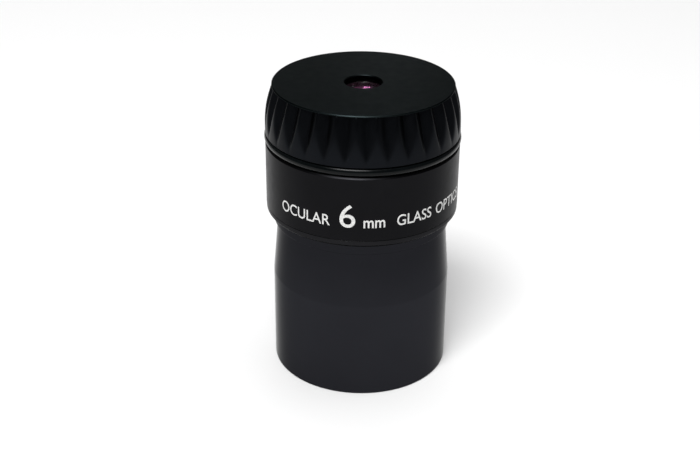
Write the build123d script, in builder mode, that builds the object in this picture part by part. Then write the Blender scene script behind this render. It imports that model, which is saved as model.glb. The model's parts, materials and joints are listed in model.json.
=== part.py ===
from build123d import *
from math import copysign, radians, sqrt, tan
import os

# Telescope eyepiece for a 1.25 inch focuser.
# Origin: centre of the nosepiece's bottom face. +Z: the optical axis, towards the eye.
# Millimetres. Every piece is turned about +Z. At rest both screw joints are fully home.

os.makedirs("parts", exist_ok=True)

# Nosepiece: plain 1.25 inch barrel, undercut cone, boss, threaded neck
nosepiece_r = 15.85
nosepiece_edge = 0.3
cylinder_top = 17.8
cone_top_r = 14.98
cone_top = 28.04
boss_r = 15.64
boss_top = 30.1
nosepiece_bore_r = 13.3
neck_r = 14.6
neck_bore_r = 12.5
neck_top = 35.5
mouth_bevel = 0.3
bore_taper = 1.0

# Filter thread in the nosepiece's mouth, M28.5 x 0.6
filter_minor_r = 13.925
filter_major_r = 14.25
filter_pitch = 0.6
filter_turns = 7
filter_lead = 0.25
filter_runout = 0.6
filter_shelf = 0.3

# Shoulder ring between the nosepiece and the housing
shoulder_r = 16.91
shoulder_edge = 0.38
shoulder_top = 31.3

# Housing
housing_r = 16.95
housing_bottom = 31.35
housing_top = 42.87
housing_edge = 0.3
housing_foot_edge = 0.08
web_bottom = 36.6
web_top = 38.6
web_hole_r = 6.25
cap_bore_r = 15.65

# Fine screw threads of the two joints, drawn as V grooves
joint_pitch = 0.75
groove_depth = 0.4
groove_flank = 0.3  # share of the pitch
thread_bevel = 0.3
running_gap = 0.1
neck_turns = 5
neck_lead = 0.15
skirt_turns = 3

# O-ring between the housing and the eye cap
o_ring_section_r = 0.745
o_ring_r = 17.13
o_ring_z = 43.75

# Eye cap: threaded core, fluted grip and top plate
skirt_r = 15.6
skirt_bore_r = 14.2
skirt_bottom = 39.6
core_r = 14.4
core_bore_r = 13.0
core_step = 46.0
core_roof = 50.4
core_top = 52.4
core_bevel = 1.2
grip_r = 16.97
grip_bottom = 44.6
grip_top = 52.95
grip_dome_r = 19.6
grip_edge = 0.15
seat_gap = 0.02
flute_count = 30
flute_start = -88.3
flute_tip = 45.45
flute_root_r = 14.7
flute_half_angle = 50
flute_root_fillet = 0.35
flute_reach = 2.0
plate_rim_r = 15.72
plate_edge = 0.16
plate_top = 53.22
eye_hole_r = 3.25
eye_hole_edge = 0.12

# Lens cell
cell_bore_r = 4.0
cell_tube_r = 5.2
cell_spigot_r = 6.2
cell_flange_r = 9.0
cell_flange_top = 40.2
cell_bottom = 35.0
cell_lip_r = 3.4
cell_lip_bottom = 51.95
cell_top = 52.35
lock_ring_r = 9.5
lock_ring_bottom = 35.1
lock_slot_width = 1.2

# Optics: two symmetric cemented doublets, crowns facing each other, focal length about 6 mm.
# Offsets are measured along the axis from the middle of the pair.
stack_z = 48.5
lens_r = 3.97
crown_offset = 0.2
cement_offset = 2.86
cement_thickness = 0.04
flint_offset = 3.7
crown_curve = -7.5
cement_curve = 6.5
flint_curve = 20.0
seat_clearance = 0.012

# Rings inside the lens cell
spacer_bore_r = 3.4
retainer_bore_r = 3.3
slip_height = 0.45
retainer_height = 1.6
stop_aperture_r = 2.75
stop_bottom = 40.5
stop_height = 0.9
stop_edge = 0.1
stop_flare = 0.7
stop_slot_depth = 0.25
slot_width = 0.6
slot_depth = 0.5


def grooves(crest_r, root_r, start, pitch, turns):
    """Profile points of V grooves that step along the axis by the pitch."""
    points = []
    for turn in range(turns):
        z = start + turn * pitch
        flank = groove_flank * pitch
        points += [(crest_r, z), (root_r, z + flank), (crest_r, z + 2 * flank)]
    return points


def dome(side, offset, curve, r):
    """Point at radius r on a lens surface. A negative curve bulges towards the pair's middle."""
    sag = curve - copysign(sqrt(curve**2 - r**2), curve)
    return (r, stack_z + side * (offset - sag))


def dome_arc(side, offset, curve):
    """Three points, axis to edge, of a lens surface's profile."""
    return [dome(side, offset, curve, r) for r in (0, lens_r / 2, lens_r)]


def grip_surface(z):
    """Outer radius of the grip's convex upper part at height z."""
    return grip_r - grip_dome_r + sqrt(grip_dome_r**2 - (z - core_step) ** 2)


# ---- Nosepiece ----

with BuildPart() as nosepiece_barrel:
    filter_end = filter_turns * filter_pitch + filter_runout
    with BuildSketch(Plane.XZ):
        with BuildLine():
            Polyline(
                (filter_minor_r + mouth_bevel, 0),
                (nosepiece_r - nosepiece_edge, 0),
                (nosepiece_r, nosepiece_edge),
                (nosepiece_r, cylinder_top),
                (cone_top_r, cone_top),
                (boss_r, cone_top),
                (boss_r, boss_top),
                (neck_r, boss_top),
                *grooves(neck_r, neck_r - groove_depth, shoulder_top, joint_pitch, neck_turns),
                (neck_r, neck_top - thread_bevel),
                (neck_r - thread_bevel, neck_top),
                (neck_bore_r, neck_top),
                (neck_bore_r, cone_top),
                (nosepiece_bore_r, cone_top - bore_taper),
                (nosepiece_bore_r, filter_end + filter_shelf),
                (filter_minor_r, filter_end),
                *reversed(
                    grooves(filter_minor_r, filter_major_r, filter_lead, filter_pitch, filter_turns)
                ),
                close=True,
            )
        make_face()
    revolve(axis=Axis.Z)

nosepiece_barrel.part.label = "nosepiece_barrel"
export_step(nosepiece_barrel.part, "parts/nosepiece_barrel.step")

with BuildPart() as shoulder_ring:
    with BuildSketch(Plane.XZ):
        with BuildLine():
            Polyline(
                (neck_r + running_gap, boss_top + seat_gap),
                (shoulder_r - shoulder_edge, boss_top + seat_gap),
                (shoulder_r, boss_top + seat_gap + shoulder_edge),
                (shoulder_r, shoulder_top),
                (neck_r + running_gap, shoulder_top),
                close=True,
            )
        make_face()
    revolve(axis=Axis.Z)

shoulder_ring.part.label = "shoulder_ring"
export_step(shoulder_ring.part, "parts/shoulder_ring.step")

# ---- Housing and lens cell ----

with BuildPart() as housing_shell:
    neck_thread_r = neck_r + running_gap
    neck_root_r = neck_thread_r + groove_depth
    cap_root_r = cap_bore_r + groove_depth
    with BuildSketch(Plane.XZ):
        with BuildLine():
            Polyline(
                (neck_thread_r + thread_bevel, housing_bottom),
                (housing_r - housing_foot_edge, housing_bottom),
                (housing_r, housing_bottom + housing_foot_edge),
                (housing_r, housing_top - housing_edge),
                (housing_r - housing_edge, housing_top),
                (cap_bore_r + thread_bevel, housing_top),
                *grooves(cap_bore_r, cap_root_r, housing_top - thread_bevel, -joint_pitch, skirt_turns),
                (cap_bore_r, web_top),
                (web_hole_r, web_top),
                (web_hole_r, web_bottom),
                (neck_thread_r, web_bottom),
                (neck_thread_r, neck_top),
                *grooves(neck_thread_r, neck_root_r, neck_top - neck_lead, -joint_pitch, neck_turns),
                close=True,
            )
        make_face()
    revolve(axis=Axis.Z)

housing_shell.part.label = "housing_shell"
export_step(housing_shell.part, "parts/housing_shell.step")

with BuildPart() as lens_cell:
    with BuildSketch(Plane.XZ):
        with BuildLine():
            Polyline(
                (cell_bore_r, cell_bottom),
                (cell_spigot_r, cell_bottom),
                (cell_spigot_r, web_top),
                (cell_flange_r, web_top),
                (cell_flange_r, cell_flange_top),
                (cell_tube_r, cell_flange_top),
                (cell_tube_r, cell_top),
                (cell_lip_r, cell_top),
                (cell_lip_r, cell_lip_bottom),
                (cell_bore_r, cell_lip_bottom),
                close=True,
            )
        make_face()
    revolve(axis=Axis.Z)

lens_cell.part.label = "lens_cell"
export_step(lens_cell.part, "parts/lens_cell.step")

with BuildPart() as cell_lock_ring:
    with BuildSketch(Plane.XY.offset(lock_ring_bottom)):
        Circle(lock_ring_r)
        Circle(cell_spigot_r + seat_gap, mode=Mode.SUBTRACT)
    extrude(amount=web_bottom - lock_ring_bottom)
    with BuildSketch(Plane.XY.offset(lock_ring_bottom)):
        Rectangle(2 * lock_ring_r, lock_slot_width)
    extrude(amount=slot_depth, mode=Mode.SUBTRACT)

cell_lock_ring.part.label = "cell_lock_ring"
export_step(cell_lock_ring.part, "parts/cell_lock_ring.step")

# ---- Optics: each doublet is a flint and a crown held by a layer of cement ----

for group, side in (("eye", 1), ("field", -1)):
    with BuildPart() as flint:
        with BuildSketch(Plane.XZ):
            with BuildLine():
                outer = ThreePointArc(*dome_arc(side, flint_offset, flint_curve))
                inner = ThreePointArc(*dome_arc(side, cement_offset + cement_thickness, cement_curve))
                Line(outer @ 0, inner @ 0)
                Line(outer @ 1, inner @ 1)
            make_face()
        revolve(axis=Axis.Z)

    with BuildPart() as cement:
        with BuildSketch(Plane.XZ):
            with BuildLine():
                outer = ThreePointArc(*dome_arc(side, cement_offset + cement_thickness, cement_curve))
                inner = ThreePointArc(*dome_arc(side, cement_offset, cement_curve))
                Line(outer @ 0, inner @ 0)
                Line(outer @ 1, inner @ 1)
            make_face()
        revolve(axis=Axis.Z)

    with BuildPart() as crown:
        with BuildSketch(Plane.XZ):
            with BuildLine():
                outer = ThreePointArc(*dome_arc(side, cement_offset, cement_curve))
                inner = ThreePointArc(*dome_arc(side, crown_offset, crown_curve))
                Line(outer @ 0, inner @ 0)
                Line(outer @ 1, inner @ 1)
            make_face()
        revolve(axis=Axis.Z)

    for piece, element in ((flint, "flint"), (cement, "cement"), (crown, "crown")):
        piece.part.label = f"{group}_{element}"
        export_step(piece.part, f"parts/{group}_{element}.step")

# ---- Rings that hold the optics ----

with BuildPart() as eye_lens_shim:
    shim_inner = dome(1, flint_offset + seat_clearance, flint_curve, cell_lip_r)
    shim_outer = dome(1, flint_offset + seat_clearance, flint_curve, lens_r)
    with BuildSketch(Plane.XZ):
        with BuildLine():
            Polyline(
                shim_inner,
                shim_outer,
                (lens_r, cell_lip_bottom),
                (cell_lip_r, cell_lip_bottom),
                close=True,
            )
        make_face()
    revolve(axis=Axis.Z)

eye_lens_shim.part.label = "eye_lens_shim"
export_step(eye_lens_shim.part, "parts/eye_lens_shim.step")

with BuildPart() as lens_spacer:
    with BuildSketch(Plane.XZ):
        with BuildLine():
            Polyline(
                dome(1, crown_offset - seat_clearance, crown_curve, spacer_bore_r),
                dome(1, crown_offset - seat_clearance, crown_curve, lens_r),
                dome(-1, crown_offset - seat_clearance, crown_curve, lens_r),
                dome(-1, crown_offset - seat_clearance, crown_curve, spacer_bore_r),
                close=True,
            )
        make_face()
    revolve(axis=Axis.Z)

lens_spacer.part.label = "lens_spacer"
export_step(lens_spacer.part, "parts/lens_spacer.step")

# A slip ring lets the retaining ring turn without rubbing the glass.
with BuildPart() as slip_ring:
    slip_inner = dome(-1, flint_offset + seat_clearance, flint_curve, retainer_bore_r)
    slip_outer = dome(-1, flint_offset + seat_clearance, flint_curve, lens_r)
    retainer_top = slip_outer[1] - slip_height
    with BuildSketch(Plane.XZ):
        with BuildLine():
            Polyline(
                slip_inner,
                slip_outer,
                (lens_r, retainer_top),
                (retainer_bore_r, retainer_top),
                close=True,
            )
        make_face()
    revolve(axis=Axis.Z)

slip_ring.part.label = "slip_ring"
export_step(slip_ring.part, "parts/slip_ring.step")

with BuildPart() as field_retaining_ring:
    with BuildSketch(Plane.XY.offset(retainer_top)):
        Circle(lens_r)
        Circle(retainer_bore_r, mode=Mode.SUBTRACT)
    extrude(amount=-retainer_height)
    with BuildSketch(Plane.XY.offset(retainer_top - retainer_height)):
        Rectangle(2 * lens_r, slot_width)
    extrude(amount=slot_depth, mode=Mode.SUBTRACT)

field_retaining_ring.part.label = "field_retaining_ring"
export_step(field_retaining_ring.part, "parts/field_retaining_ring.step")

with BuildPart() as field_stop:
    with BuildSketch(Plane.XZ):
        with BuildLine():
            Polyline(
                (stop_aperture_r + stop_flare, stop_bottom),
                (lens_r, stop_bottom),
                (lens_r, stop_bottom + stop_height),
                (stop_aperture_r, stop_bottom + stop_height),
                (stop_aperture_r, stop_bottom + stop_height - stop_edge),
                close=True,
            )
        make_face()
    revolve(axis=Axis.Z)
    with BuildSketch(Plane.XY.offset(stop_bottom)):
        Rectangle(2 * lens_r, slot_width)
    extrude(amount=stop_slot_depth, mode=Mode.SUBTRACT)

field_stop.part.label = "field_stop"
export_step(field_stop.part, "parts/field_stop.step")

# ---- O-ring ----

with BuildPart() as joint_o_ring:
    with BuildSketch(Plane.XZ):
        with Locations((o_ring_r - o_ring_section_r, o_ring_z)):
            Circle(o_ring_section_r)
    revolve(axis=Axis.Z)

joint_o_ring.part.label = "joint_o_ring"
export_step(joint_o_ring.part, "parts/joint_o_ring.step")

# ---- Eye cap ----

with BuildPart() as cap_core:
    skirt_root_r = skirt_r - groove_depth
    with BuildSketch(Plane.XZ):
        with BuildLine():
            Polyline(
                (skirt_bore_r, skirt_bottom),
                (skirt_r - thread_bevel, skirt_bottom),
                *grooves(skirt_r, skirt_root_r, skirt_bottom + thread_bevel, joint_pitch, skirt_turns),
                (skirt_r, core_step),
                (core_r, core_step),
                (core_r, core_top),
                (cell_tube_r + running_gap, core_top),
                (cell_tube_r + running_gap, core_roof),
                (core_bore_r, core_roof),
                (core_bore_r, core_step),
                (skirt_bore_r, core_step - core_bevel),
                close=True,
            )
        make_face()
    revolve(axis=Axis.Z)

cap_core.part.label = "cap_core"
export_step(cap_core.part, "parts/cap_core.step")

# A flute is a V groove with a round root, which runs in from its tip on the side towards the top.
with BuildPart() as flute_cutter:
    flute_root = Vector(flute_root_r - grip_r, 0, grip_top - flute_tip)
    flute_outward = Vector(flute_root.Z, 0, -flute_root.X)
    flute_plane = Plane(origin=(grip_r, 0, flute_tip), x_dir=flute_outward, z_dir=flute_root)
    with BuildSketch(flute_plane):
        with BuildLine():
            Polyline(
                (0, 0),
                (flute_reach, flute_reach * tan(radians(flute_half_angle))),
                (flute_reach, -flute_reach * tan(radians(flute_half_angle))),
                close=True,
            )
        make_face()
        fillet(vertices().sort_by(Axis.X)[0], flute_root_fillet)
    extrude(amount=2 * flute_root.length, both=True)

with BuildPart() as grip_sleeve:
    with BuildSketch(Plane.XZ):
        with BuildLine():
            crown_line = ThreePointArc(
                (grip_r, core_step),
                (grip_surface((core_step + grip_top) / 2), (core_step + grip_top) / 2),
                (grip_surface(grip_top), grip_top),
            )
            Polyline(
                crown_line @ 1,
                (core_r + seat_gap, grip_top),
                (core_r + seat_gap, core_step + seat_gap),
                (skirt_r + seat_gap, core_step + seat_gap),
                (skirt_r + seat_gap, grip_bottom),
                (grip_r - grip_edge, grip_bottom),
                (grip_r, grip_bottom + grip_edge),
                crown_line @ 0,
            )
        make_face()
    revolve(axis=Axis.Z)
    with PolarLocations(0, flute_count, start_angle=flute_start):
        add(flute_cutter.part, mode=Mode.SUBTRACT)

grip_sleeve.part.label = "grip_sleeve"
export_step(grip_sleeve.part, "parts/grip_sleeve.step")

with BuildPart() as cap_plate:
    with BuildSketch(Plane.XZ):
        with BuildLine():
            Polyline(
                (eye_hole_r, core_top),
                (core_r, core_top),
                (core_r, grip_top),
                (plate_rim_r, grip_top),
                (plate_rim_r, plate_top - plate_edge),
                (plate_rim_r - plate_edge, plate_top),
                (eye_hole_r + eye_hole_edge, plate_top),
                (eye_hole_r, plate_top - eye_hole_edge),
                close=True,
            )
        make_face()
    revolve(axis=Axis.Z)

cap_plate.part.label = "cap_plate"
export_step(cap_plate.part, "parts/cap_plate.step")
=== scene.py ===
import json
from math import acos, cos, hypot, pi, radians, sin, sqrt, tan

import bmesh
import bpy
from mathutils import Matrix, Vector


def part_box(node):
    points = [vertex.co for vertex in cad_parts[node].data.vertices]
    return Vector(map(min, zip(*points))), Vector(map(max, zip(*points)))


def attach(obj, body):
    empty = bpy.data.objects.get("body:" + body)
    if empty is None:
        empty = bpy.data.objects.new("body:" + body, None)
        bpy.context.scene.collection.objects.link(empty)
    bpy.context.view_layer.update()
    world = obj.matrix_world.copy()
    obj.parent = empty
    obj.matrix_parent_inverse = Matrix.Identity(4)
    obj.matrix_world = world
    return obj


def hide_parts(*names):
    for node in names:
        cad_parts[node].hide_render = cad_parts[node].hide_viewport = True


MM = 0.001
MICROMETRE = 1e-6
TURN = 2 * pi

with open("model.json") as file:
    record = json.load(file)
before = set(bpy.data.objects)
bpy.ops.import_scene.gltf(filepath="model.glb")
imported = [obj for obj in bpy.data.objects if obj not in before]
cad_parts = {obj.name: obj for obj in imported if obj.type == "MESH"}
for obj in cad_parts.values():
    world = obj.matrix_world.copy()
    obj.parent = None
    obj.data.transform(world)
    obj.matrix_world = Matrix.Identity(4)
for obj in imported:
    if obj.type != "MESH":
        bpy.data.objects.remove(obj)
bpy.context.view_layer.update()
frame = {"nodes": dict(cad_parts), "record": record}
scene = bpy.context.scene
scene.view_settings.view_transform = "Standard"


def placed(name, data):
    """A new object of this data, in the scene."""
    made = bpy.data.objects.new(name, data)
    scene.collection.objects.link(made)
    return made


# ---- Camera ----

camera_position = Vector((-1.620, -202.95, 129.48)) * MM
camera_pitch = radians(27.46)
camera_yaw = radians(0.107)
camera_roll = radians(0.618)
camera_lens = 64.95
sensor_width = 36.0
nearest_seen = 0.01
farthest_seen = 10.0

camera = placed("camera", bpy.data.cameras.new("camera"))
camera.data.lens = camera_lens
camera.data.sensor_width = sensor_width
camera.data.clip_start = nearest_seen
camera.data.clip_end = farthest_seen
camera.matrix_world = (
    Matrix.Translation(camera_position)
    @ Matrix.Rotation(radians(90) - camera_pitch, 4, "X")
    @ Matrix.Rotation(camera_roll, 4, "Z")
    @ Matrix.Rotation(camera_yaw, 4, "Y")
)
scene.camera = camera


# ---- Sizes in millimetres. Outer sizes come from the frame. ----


def node_size(name):
    """Outer radius, lowest z and highest z of a CAD node, in millimetres.

    The radius is the shorter of its reaches along +X and -X, so that nothing passes the CAD.
    """
    low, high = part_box(name)
    return min(high.x, -low.x) / MM, low.z / MM, high.z / MM


barrel_r, barrel_bottom, neck_top = node_size("nosepiece_barrel")
shoulder_r, shoulder_bottom, shoulder_top = node_size("shoulder_ring")
housing_r, housing_bottom, housing_top = node_size("housing_shell")
bead_r, bead_bottom, bead_top = node_size("joint_o_ring")
grip_r, grip_bottom, grip_top = node_size("grip_sleeve")
skirt_r, skirt_bottom, core_top = node_size("cap_core")
plate_r, plate_bottom, plate_top = node_size("cap_plate")
lens_r, _, eye_lens_top = node_size("eye_flint")
_, field_lens_bottom, _ = node_size("field_flint")

# The nosepiece: a cylinder, a conical undercut, a boss and a threaded neck.
barrel_edge = 0.3
cylinder_top = 17.8
cylinder_blend = 1.0
cone_top_r = 14.98
cone_top = 28.04
boss_r = 15.64
boss_top = 30.1
boss_edge = 0.12
neck_r = 14.6
neck_bore_r = 12.5
barrel_bore_r = 13.3
bore_taper = 1.0

# The filter thread in its mouth.
filter_r = 13.925
filter_bottom = 0.2
filter_top = 4.8
filter_relief = 0.1
filter_pitch = 0.6
filter_depth = 0.325

# The joint threads, and the shallow one that darkens the barrel's bore.
joint_pitch = 0.75
joint_depth = 0.4
running_gap = 0.1
thread_bevel = 0.3
baffle_depth = 0.14
baffle_margin = 0.3
baffle_rows = 6

# The shoulder ring and the housing.
shoulder_chamfer = 0.38
shoulder_edge = 0.1
fine_edge = 0.05
housing_edge = 0.08
cap_bore_r = 15.65
cap_thread_relief = 1.4
web_bottom = 36.6
web_top = 38.6
web_hole_r = 6.25

# The cap's core and top plate.
skirt_bore_r = 14.2
skirt_thread_length = 3.0
core_r = 14.4
core_bore_r = 13.0
core_bore_taper = 1.2
core_step = 46.0
core_roof = 50.4
core_hole_r = 5.3
eye_hole_r = 3.25
eye_hole_edge = 0.12
plate_edge = 0.16
plate_blend = 0.03
eye_hole_blend = 0.04

# The fluted grip.
flute_count = 30
flute_start = radians(-88.3)
flute_tip = 45.45
flute_root_r = 14.7
flute_slope = (grip_r - flute_root_r) / (grip_top - flute_tip)
flute_fillet = 0.35
flute_half_angle = radians(50)
flute_floor = 0.05
flute_edge = 0.2
dome_r = 19.6
seat_gap = 0.02
grip_edge = 0.15

# The outer lenses.
flint_curve = 20.0
cement_curve = 6.5
flint_middle = 0.8

# The markings, printed round the housing. They are cut into slices so that they bend.
ink_height = 0.012
ink_sink = 0.004
ink_slice = 0.25
marking_z = 33.85
word_height = 1.95
number_height = 4.15
unit_height = 1.38
front_angle = radians(-90)


# ---- Mesh helpers ----

turned_segments = 192
lens_segments = 96
segments_per_flute = 24

# How near a thread's crest or the grip's dome a point is cut, in millimetres.
on_crest = 0.001
on_dome = 0.01

# How near each other two points become one, in metres.
turned_weld = 1e-8
ink_weld = 1e-7


def rounded(corners, steps=3):
    """A closed (r, z) profile whose corners, given as (r, z, radius), are turned into arcs."""
    points = []
    for index, corner in enumerate(corners):
        here = Vector(corner[:2])
        if len(corner) < 3:
            points.append(here)
            continue
        radius = corner[2]
        before = (Vector(corners[index - 1][:2]) - here).normalized()
        after = (Vector(corners[(index + 1) % len(corners)][:2]) - here).normalized()
        half = acos(max(-1.0, min(1.0, before.dot(after)))) / 2
        middle = here + (before + after).normalized() * radius / sin(half)
        start = here + before * radius / tan(half)
        end = here + after * radius / tan(half)
        for step in range(steps + 1):
            spoke = (start - middle).lerp(end - middle, step / steps).normalized()
            points.append(middle + spoke * radius)
    return points


def rows(r, start, end, pitch, per_turn=10):
    """Points straight along a wall, close enough for a thread of this pitch to bend."""
    count = round(abs(end - start) / pitch * per_turn)
    return [(r, start + (end - start) * step / count) for step in range(count + 1)]


def helix(crest_r, depth, low, high, pitch, flank=0.36):
    """A right-handed V thread as a change of radius. A negative depth cuts outwards.

    The flank is the share of the pitch that each side of the V takes.
    """

    def cut(angle, r, z):
        if abs(r - crest_r) > on_crest or not low <= z <= high:
            return 0.0
        phase = ((z - low) / pitch - angle / TURN) % 1.0
        groove = max(0.0, 1 - abs(phase - 0.5) / flank)
        fade = min(1.0, (z - low) / pitch, (high - z) / pitch)
        return depth * groove * fade

    return cut


def mesh_data(name, mesh):
    """The bmesh as mesh data. The bmesh is used up."""
    data = bpy.data.meshes.new(name)
    mesh.to_mesh(data)
    mesh.free()
    return data


def smooth_piece(name, mesh):
    """The bmesh as a smooth shaded object whose large faces stay flat."""
    data = mesh_data(name, mesh)
    data.polygons.foreach_set("use_smooth", [True] * len(data.polygons))
    piece = placed(name, data)
    piece.modifiers.new("weighted_normals", "WEIGHTED_NORMAL")
    return piece


def lathe(name, profile, segments=turned_segments, cuts=(), shape=None):
    """A solid turned about +Z from a closed (r, z) profile in millimetres.

    Each cut takes its depth off the radius. A shape gives the radius itself.
    """
    mesh = bmesh.new()
    rings = []
    for segment in range(segments):
        angle = TURN * segment / segments
        ring = []
        for r, z in profile:
            bent = shape(angle, r, z) if shape else r - sum(cut(angle, r, z) for cut in cuts)
            ring.append(mesh.verts.new((bent * cos(angle) * MM, bent * sin(angle) * MM, z * MM)))
        rings.append(ring)
    for segment, ring in enumerate(rings):
        following = rings[(segment + 1) % segments]
        for index in range(len(ring)):
            above = (index + 1) % len(ring)
            mesh.faces.new((ring[index], following[index], following[above], ring[above]))
    bmesh.ops.remove_doubles(mesh, verts=mesh.verts, dist=turned_weld)
    bmesh.ops.recalc_face_normals(mesh, faces=mesh.faces)
    return smooth_piece(name, mesh)


# ---- Material helpers ----

# The levels that most noise values lie between.
noise_low = 0.3
noise_high = 0.7


def shader_of(material):
    return material.node_tree.nodes["Principled BSDF"]


def new_material(name, base, roughness, **plain):
    """A Principled material. Plain values go straight onto the shader's own sockets."""
    material = bpy.data.materials.new(name)
    material.use_nodes = True
    inputs = shader_of(material).inputs
    inputs["Base Color"].default_value = (*base, 1)
    inputs["Roughness"].default_value = roughness
    for socket, value in plain.items():
        inputs[socket.replace("_", " ")].default_value = value
    return material


def add_node(material, kind, values=None, **settings):
    """A new node with its properties set, and its unlinked inputs set by name."""
    made = material.node_tree.nodes.new(kind)
    for key, value in settings.items():
        setattr(made, key, value)
    for key, value in (values or {}).items():
        made.inputs[key].default_value = value
    return made


def link(material, source, target):
    material.node_tree.links.new(source, target)


def object_place(material):
    return add_node(material, "ShaderNodeTexCoord").outputs["Object"]


def turned_place(material):
    """A place made of the radius and the height, the same all the way round the axis."""
    parts = add_node(material, "ShaderNodeSeparateXYZ")
    link(material, object_place(material), parts.inputs["Vector"])
    flat = add_node(material, "ShaderNodeCombineXYZ")
    link(material, parts.outputs["X"], flat.inputs["X"])
    link(material, parts.outputs["Y"], flat.inputs["Y"])
    radius = add_node(material, "ShaderNodeVectorMath", operation="LENGTH")
    link(material, flat.outputs["Vector"], radius.inputs[0])
    ring = add_node(material, "ShaderNodeCombineXYZ")
    link(material, radius.outputs["Value"], ring.inputs["X"])
    link(material, parts.outputs["Z"], ring.inputs["Y"])
    return ring.outputs["Vector"]


def noise(material, where, scale, detail):
    made = add_node(material, "ShaderNodeTexNoise", {"Scale": scale, "Detail": detail})
    link(material, where, made.inputs["Vector"])
    return made.outputs["Fac"]


def shade(tone, share):
    """A share of the tone, darker below one and lighter above."""
    return [share * level for level in tone]


def colour_between(material, value, dark, light):
    """Base colour that runs from the dark tone to the light one with a noise value."""
    ramp = add_node(material, "ShaderNodeValToRGB")
    for stop, position, tone in zip(ramp.color_ramp.elements, (noise_low, noise_high), (dark, light)):
        stop.position = position
        stop.color = (*tone, 1)
    link(material, value, ramp.inputs["Fac"])
    link(material, ramp.outputs["Color"], shader_of(material).inputs["Base Color"])


def roughness_between(material, value, low, high):
    """Roughness that runs between two levels with a noise value."""
    levels = {"From Min": noise_low, "From Max": noise_high, "To Min": low, "To Max": high}
    level = add_node(material, "ShaderNodeMapRange", levels)
    link(material, value, level.inputs["Value"])
    link(material, level.outputs["Result"], shader_of(material).inputs["Roughness"])


def bumps(material, *layers):
    """Bump nodes in a row. Each layer is a height value and its depth in micrometres."""
    normal = None
    for height, depth in layers:
        made = add_node(material, "ShaderNodeBump", {"Strength": 1.0, "Distance": depth * MICROMETRE})
        link(material, height, made.inputs["Height"])
        if normal:
            link(material, normal, made.inputs["Normal"])
        normal = made.outputs["Normal"]
    link(material, normal, shader_of(material).inputs["Normal"])


def anodised(name, tone, roughness, edge_tint, grain, lines, patchy=0.08, uneven=0.03):
    """Black anodised metal: slow tone changes, blasted grain and turning lines.

    The edge tint is the reflection kept at a grazing angle. Grain and lines are depths in
    micrometres. Patchy is how far the tone swings, as a share, and uneven how far the roughness does.
    """
    material = new_material(name, tone, roughness, Metallic=1.0)
    shader_of(material).inputs["Specular Tint"].default_value = (edge_tint, edge_tint, edge_tint, 1)
    where = object_place(material)
    slow = noise(material, where, scale=150, detail=4.0)
    colour_between(material, slow, shade(tone, 1 - patchy), shade(tone, 1 + patchy))
    dull = noise(material, where, scale=700, detail=5.0)
    roughness_between(material, dull, roughness - uneven, roughness + uneven)
    fine = noise(material, where, scale=9000, detail=2.0)
    turned = noise(material, turned_place(material), scale=7000, detail=3.0)
    bumps(material, (fine, grain), (turned, lines))
    return material


def painted_shade_above(material, height, fade, share):
    """Painted shade: around a height, over a fade each way in millimetres, the base colour drops to a share.
    """
    parts = add_node(material, "ShaderNodeSeparateXYZ")
    link(material, object_place(material), parts.inputs["Vector"])
    low, high = (height - fade) * MM, (height + fade) * MM
    levels = {"From Min": low, "From Max": high, "To Min": 1.0, "To Max": share}
    level = add_node(material, "ShaderNodeMapRange", levels)
    link(material, parts.outputs["Z"], level.inputs["Value"])
    colour = shader_of(material).inputs["Base Color"]
    scaled = add_node(material, "ShaderNodeVectorMath", operation="SCALE")
    link(material, colour.links[0].from_socket, scaled.inputs[0])
    link(material, level.outputs["Result"], scaled.inputs["Scale"])
    link(material, scaled.outputs["Vector"], colour)


def moulded_rubber(name, tone, roughness):
    """Black rubber with a faint moulded ripple and a few dull patches."""
    material = new_material(name, tone, roughness, IOR=1.22)
    where = object_place(material)
    patches = noise(material, where, scale=260, detail=4.0)
    colour_between(material, patches, shade(tone, 0.8), shade(tone, 1.25))
    roughness_between(material, patches, roughness - 0.03, roughness + 0.06)
    ripple_depth = 1.2
    bumps(material, (noise(material, where, scale=2500, detail=2.0), ripple_depth))
    return material


def printing_ink(name):
    """White screen-printing ink: matt, with an uneven film and a fine grain."""
    thin_ink, thick_ink = (0.66, 0.66, 0.65), (0.86, 0.86, 0.85)
    material = new_material(name, base=(0.8, 0.8, 0.78), roughness=0.55)
    where = object_place(material)
    film = noise(material, where, scale=2200, detail=4.0)
    colour_between(material, film, thin_ink, thick_ink)
    roughness_between(material, film, low=0.48, high=0.62)
    grain_depth = 1.5
    bumps(material, (noise(material, where, scale=12000, detail=2.0), grain_depth))
    return material


def polished_glass(name, body, ior):
    """Optical glass with a little haze from handling."""
    material = new_material(name, body, roughness=0.02, IOR=ior, Transmission_Weight=1.0)
    where = object_place(material)
    roughness_between(material, noise(material, where, scale=900, detail=5.0), low=0.01, high=0.05)
    colour_between(material, noise(material, where, scale=400, detail=3.0), shade(body, 0.98), body)
    return material


def coat(material, film_ior, film_nanometres, haze):
    """A one-layer anti-reflection film, which leaves magenta, and a thin dusty haze."""
    inputs = shader_of(material).inputs
    inputs["Thin Film IOR"].default_value = film_ior
    inputs["Thin Film Thickness"].default_value = film_nanometres
    inputs["Specular Tint"].default_value = (1.0, 0.30, 0.68, 1)
    inputs["Sheen Weight"].default_value = haze
    inputs["Sheen Roughness"].default_value = 0.5
    inputs["Sheen Tint"].default_value = (1.0, 0.48, 0.75, 1)


# ---- Materials ----

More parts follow.
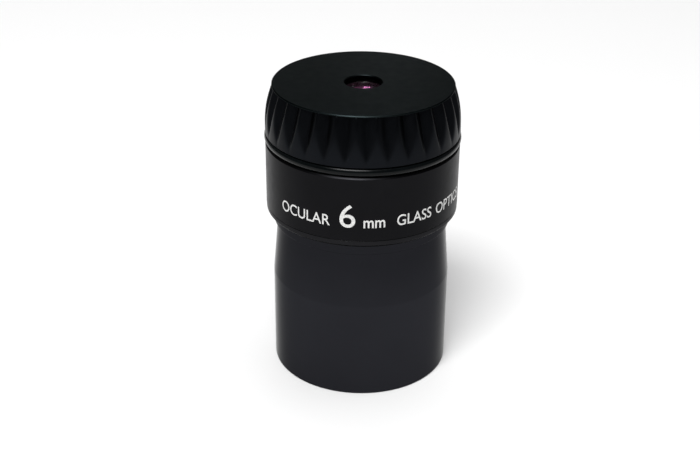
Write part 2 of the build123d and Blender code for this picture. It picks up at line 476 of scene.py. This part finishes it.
barrel_metal = anodised(
    "barrel_metal",
    tone=(0.0194, 0.0198, 0.0236),
    roughness=0.17,
    edge_tint=0.58,
    grain=0.15,
    lines=0.25,
    patchy=0.03,
)
# Painted shade: the base colour drops a little at the top of the cylinder and more over the undercut cone and
# boss, standing in for the darker surroundings they reflect.
painted_shade_fade = 4.0
painted_shade_above(barrel_metal, height=cylinder_top, fade=0.3, share=0.90)
painted_shade_above(barrel_metal, height=cylinder_top + painted_shade_fade, fade=painted_shade_fade, share=0.80)
shoulder_metal = anodised(
    "shoulder_metal",
    tone=(0.0150, 0.0150, 0.0165),
    roughness=0.30,
    edge_tint=0.70,
    grain=1.2,
    lines=0.3,
)
housing_metal = anodised(
    "housing_metal",
    tone=(0.0094, 0.0094, 0.0104),
    roughness=0.34,
    edge_tint=0.72,
    grain=1.2,
    lines=0.5,
)
grip_metal = anodised(
    "grip_metal",
    tone=(0.0084, 0.0094, 0.0112),
    roughness=0.36,
    edge_tint=0.70,
    grain=1.2,
    lines=0.3,
)
plate_metal = anodised(
    "plate_metal",
    tone=(0.0080, 0.0108, 0.0114),
    roughness=0.33,
    edge_tint=0.50,
    grain=1.0,
    lines=0.3,
    patchy=0.04,
)
bore_black = anodised(
    "bore_black",
    tone=(0.0040, 0.0040, 0.0042),
    roughness=0.62,
    edge_tint=0.50,
    grain=2.0,
    lines=1.0,
)
bead_rubber = moulded_rubber("bead_rubber", tone=(0.0016, 0.0024, 0.0027), roughness=0.20)
white_ink = printing_ink("white_ink")
coated_glass = polished_glass("coated_glass", body=(0.97, 0.90, 0.96), ior=1.62)
coat(coated_glass, film_ior=1.38, film_nanometres=130.0, haze=0.06)
clear_glass = polished_glass("clear_glass", body=(0.96, 0.98, 0.97), ior=1.52)
clear_cement = polished_glass("clear_cement", body=(0.97, 0.97, 0.94), ior=1.55)

# ---- CAD nodes that are kept, each with its material ----

carried = {
    "lens_cell": bore_black,
    "cell_lock_ring": bore_black,
    "field_stop": bore_black,
    "field_retaining_ring": bore_black,
    "slip_ring": bore_black,
    "lens_spacer": bore_black,
    "eye_lens_shim": bore_black,
    "eye_crown": clear_glass,
    "field_crown": clear_glass,
    "eye_cement": clear_cement,
    "field_cement": clear_cement,
}
for name, material in carried.items():
    slots = frame["nodes"][name].data.materials
    slots.clear()
    slots.append(material)

# ---- Turned pieces, each in place of its CAD node ----

bodies = frame["record"]["behaviour"]["bodies"]


def stand_for(piece, replaced, material):
    """The piece takes the place and body of a CAD node, which is hidden, and gets a material."""
    piece.data.materials.append(material)
    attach(piece, next(body for body, nodes in bodies.items() if replaced in nodes))
    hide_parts(replaced)


def turned_nosepiece():
    neck_low, neck_high = shoulder_top, neck_top - thread_bevel
    bore_low, bore_high = filter_top + thread_bevel, cone_top - bore_taper
    baffle_low, baffle_high = bore_low + baffle_margin, bore_high - baffle_margin
    filter_low, filter_high = filter_bottom, filter_top - filter_relief
    profile = rounded([
        (filter_r + thread_bevel, barrel_bottom),
        (barrel_r, barrel_bottom, barrel_edge),
        (barrel_r, cylinder_top, cylinder_blend),
        (cone_top_r, cone_top, boss_edge),
        (boss_r, cone_top, boss_edge),
        (boss_r, boss_top, boss_edge),
        (neck_r, boss_top),
    ])
    profile += rows(neck_r, neck_low, neck_high, joint_pitch)
    profile += [(neck_r - thread_bevel, neck_top), (neck_bore_r, neck_top), (neck_bore_r, cone_top)]
    profile += [(barrel_bore_r, bore_high)]
    profile += rows(barrel_bore_r, baffle_high, baffle_low, joint_pitch, baffle_rows)
    profile += [(barrel_bore_r, bore_low), (filter_r, filter_top)]
    profile += rows(filter_r, filter_high, filter_low, filter_pitch)
    threads = (
        helix(neck_r, joint_depth, neck_low, neck_high, joint_pitch),
        helix(barrel_bore_r, -baffle_depth, baffle_low, baffle_high, joint_pitch),
        helix(filter_r, -filter_depth, filter_low, filter_high, filter_pitch),
    )
    stand_for(lathe("turned_nosepiece", profile, cuts=threads), "nosepiece_barrel", barrel_metal)


def turned_shoulder():
    inner_r = neck_r + running_gap
    profile = rounded([
        (inner_r, shoulder_bottom),
        (shoulder_r - shoulder_chamfer, shoulder_bottom, shoulder_edge),
        (shoulder_r, shoulder_bottom + shoulder_chamfer, shoulder_edge),
        (shoulder_r, shoulder_top, fine_edge),
        (inner_r, shoulder_top),
    ])
    stand_for(lathe("turned_shoulder", profile), "shoulder_ring", shoulder_metal)


def turned_housing():
    lower_r = neck_r + running_gap
    lower_low, lower_high = housing_bottom + thread_bevel, neck_top
    upper_low, upper_high = web_top + cap_thread_relief, housing_top - thread_bevel
    profile = rounded([
        (lower_r + thread_bevel, housing_bottom),
        (housing_r, housing_bottom, housing_edge),
        (housing_r, housing_top - thread_bevel, fine_edge),
        (housing_r - thread_bevel, housing_top, fine_edge),
        (cap_bore_r + thread_bevel, housing_top),
    ])
    profile += rows(cap_bore_r, upper_high, upper_low, joint_pitch)
    profile += [(cap_bore_r, web_top), (web_hole_r, web_top), (web_hole_r, web_bottom), (lower_r, web_bottom)]
    profile += rows(lower_r, lower_high, lower_low, joint_pitch)
    threads = (
        helix(cap_bore_r, -joint_depth, upper_low, upper_high, joint_pitch),
        helix(lower_r, -joint_depth, lower_low, lower_high, joint_pitch),
    )
    stand_for(lathe("turned_housing", profile, cuts=threads), "housing_shell", housing_metal)


def moulded_bead(steps=28):
    section_r = (bead_top - bead_bottom) / 2
    middle_z = (bead_top + bead_bottom) / 2
    profile = []
    for step in range(steps):
        angle = TURN * step / steps
        profile.append((bead_r - section_r + section_r * cos(angle), middle_z + section_r * sin(angle)))
    stand_for(lathe("moulded_bead", profile), "joint_o_ring", bead_rubber)


def turned_core():
    thread_low = skirt_bottom + thread_bevel
    thread_high = thread_low + skirt_thread_length
    profile = [(skirt_bore_r, skirt_bottom), (skirt_r - thread_bevel, skirt_bottom)]
    profile += rows(skirt_r, thread_low, thread_high, joint_pitch)
    profile += [
        (skirt_r, core_step),
        (core_r, core_step),
        (core_r, core_top),
        (core_hole_r, core_top),
        (core_hole_r, core_roof),
        (core_bore_r, core_roof),
        (core_bore_r, core_step),
        (skirt_bore_r, core_step - core_bore_taper),
    ]
    thread = helix(skirt_r, joint_depth, thread_low, thread_high, joint_pitch)
    stand_for(lathe("turned_core", profile, cuts=(thread,)), "cap_core", bore_black)


def turned_plate():
    profile = rounded([
        (eye_hole_r, plate_bottom),
        (core_r, plate_bottom),
        (core_r, grip_top),
        (plate_r, grip_top, plate_blend),
        (plate_r, plate_top - plate_edge, plate_blend),
        (plate_r - plate_edge, plate_top, plate_blend),
        (eye_hole_r + eye_hole_edge, plate_top, eye_hole_blend),
        (eye_hole_r, plate_top - eye_hole_edge, eye_hole_blend),
    ])
    stand_for(lathe("turned_plate", profile), "cap_plate", plate_metal)


# ---- Fluted grip ----


def grip_surface(z):
    """Outer radius of the grip before its flutes are cut."""
    return grip_r - dome_r + sqrt(dome_r**2 - max(0.0, z - core_step) ** 2)


def fluted(angle, r, z):
    """The grip's radius with a V flute that deepens from its tip towards the top."""
    if r < grip_surface(z) - on_dome:
        return r
    step = TURN / flute_count
    offset = (angle - flute_start + step / 2) % step - step / 2
    across = r * sin(offset)
    root = grip_r - flute_slope * (z - flute_tip) + flute_floor
    groove = root + (hypot(across, flute_fillet) - flute_fillet) / tan(flute_half_angle)
    gap = r - groove
    return r - (gap + hypot(gap, flute_edge)) / 2


def fluted_grip(edge_steps=4, dome_rows=48):
    start = grip_bottom + grip_edge
    profile = [(skirt_r + seat_gap, grip_bottom)]
    for step in range(edge_steps):
        angle = pi / 2 * step / edge_steps
        profile.append((grip_r - grip_edge + grip_edge * sin(angle), start - grip_edge * cos(angle)))
    for step in range(dome_rows + 1):
        z = start + (grip_top - start) * step / dome_rows
        profile.append((grip_surface(z), z))
    seat = core_step + seat_gap
    profile += [(core_r + seat_gap, grip_top), (core_r + seat_gap, seat), (skirt_r + seat_gap, seat)]
    grip = lathe("fluted_grip", profile, segments=flute_count * segments_per_flute, shape=fluted)
    stand_for(grip, "grip_sleeve", grip_metal)


# ---- Coated outer lenses ----


def sphere_line(vertex_z, curve, side, count=14):
    """Points from the axis to the rim of a lens surface that falls away from the outside."""
    points = []
    for step in range(count + 1):
        r = lens_r * step / count
        sag = curve - sqrt(curve**2 - r**2)
        points.append((r, vertex_z - side * sag))
    return points


def coated_lens(name, replaced, outer_z, side):
    """An outer lens that faces up (side 1) or down (side -1)."""
    outer = sphere_line(outer_z, flint_curve, side)
    inner = sphere_line(outer_z - side * flint_middle, cement_curve, side)
    stand_for(lathe(name, outer + inner[::-1], segments=lens_segments), replaced, coated_glass)


turned_nosepiece()
turned_shoulder()
turned_housing()
moulded_bead()
turned_core()
turned_plate()
fluted_grip()
coated_lens("coated_eye_lens", "eye_flint", eye_lens_top, side=1)
coated_lens("coated_field_lens", "field_flint", field_lens_bottom, side=-1)

# ---- Markings, in white ink on the housing ----


def flat_text(text, weight):
    """A bmesh of the text as a thin slab in the XY plane."""
    curve = bpy.data.curves.new("flat_text", "FONT")
    curve.body = text
    curve.offset = weight
    curve.extrude = 0.5
    curve.resolution_u = 6
    letters = placed("flat_text", curve)
    bpy.context.view_layer.update()
    data = bpy.data.meshes.new_from_object(letters.evaluated_get(bpy.context.evaluated_depsgraph_get()))
    bpy.data.objects.remove(letters)
    mesh = bmesh.new()
    mesh.from_mesh(data)
    bpy.data.meshes.remove(data)
    return mesh


def marking(name, text, start, end, height, weight):
    """A word bent round the housing between two angles, in degrees to the right of the front."""
    mesh = flat_text(text, weight)
    left = min(vert.co.x for vert in mesh.verts)
    width = max(vert.co.x for vert in mesh.verts) - left
    top = max(vert.co.y for vert in mesh.verts)
    slices = int(radians(end - start) * housing_r / ink_slice)
    for index in range(1, slices):
        everything = [*mesh.verts, *mesh.edges, *mesh.faces]
        cut_at = (left + width * index / slices, 0, 0)
        bmesh.ops.bisect_plane(mesh, geom=everything, plane_co=cut_at, plane_no=(1, 0, 0))
    for vert in mesh.verts:
        angle = front_angle + radians(start + (end - start) * (vert.co.x - left) / width)
        r = housing_r + (ink_height if vert.co.z > 0 else -ink_sink)
        z = marking_z + vert.co.y / top * height
        vert.co = (r * cos(angle) * MM, r * sin(angle) * MM, z * MM)
    bmesh.ops.remove_doubles(mesh, verts=mesh.verts, dist=ink_weld)
    bmesh.ops.recalc_face_normals(mesh, faces=mesh.faces)
    word = placed(name, mesh_data(name, mesh))
    word.data.materials.append(white_ink)
    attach(word, "housing")


marking("marking_ocular", "OCULAR", start=-53, end=-18.5, height=word_height, weight=0.004)
marking("marking_number", "6", start=-12.9, end=-3.9, height=number_height, weight=0.0)
marking("marking_unit", "mm", start=0.7, end=13, height=unit_height, weight=0.012)
marking("marking_glass", "GLASS", start=20, end=43.4, height=word_height, weight=0.006)
marking("marking_optics", "OPTICS", start=47.3, end=76, height=word_height, weight=0.006)

# ---- Studio, in metres ----

floor_size = 3.0
world_level = 0.10
object_middle = (0, 0, 0.05)

floor_mesh = bmesh.new()
bmesh.ops.create_grid(floor_mesh, x_segments=1, y_segments=1, size=floor_size / 2)
floor = smooth_piece("floor", floor_mesh)
floor.data.materials.append(new_material("floor_paper", base=(0.935, 0.935, 0.935), roughness=0.9))

world = bpy.data.worlds.new("studio")
world.use_nodes = True
background = world.node_tree.nodes["Background"].inputs
background["Color"].default_value = (1, 1, 1, 1)
background["Strength"].default_value = world_level
scene.world = world


def softbox(name, position, aim, size, radiance):
    """A soft area light at a place, turned to its aim, as bright as its radiance."""
    width, height = size
    light = bpy.data.lights.new(name, "AREA")
    light.shape = "RECTANGLE"
    light.size = width
    light.size_y = height
    light.energy = radiance * pi * width * height
    lamp = placed(name, light)
    lamp.location = position
    lamp.rotation_euler = (Vector(aim) - Vector(position)).to_track_quat("-Z", "Y").to_euler()


softbox("key", position=(-0.16, -0.47, 0.90), aim=(0, 0, 0.03), size=(0.44, 0.34), radiance=20.0)
softbox("overhead", position=(0.10, 0.20, 1.10), aim=(0, 0.05, 0), size=(1.0, 0.8), radiance=2.0)
softbox("back_panel", position=(0, 0.95, 0.55), aim=object_middle, size=(1.3, 0.7), radiance=0.40)
softbox("glint_left", position=(-0.108, 0.90, 0.390), aim=object_middle, size=(0.035, 0.045), radiance=7.0)
softbox("glint_right", position=(0.030, 0.90, 0.390), aim=object_middle, size=(0.045, 0.045), radiance=9.0)
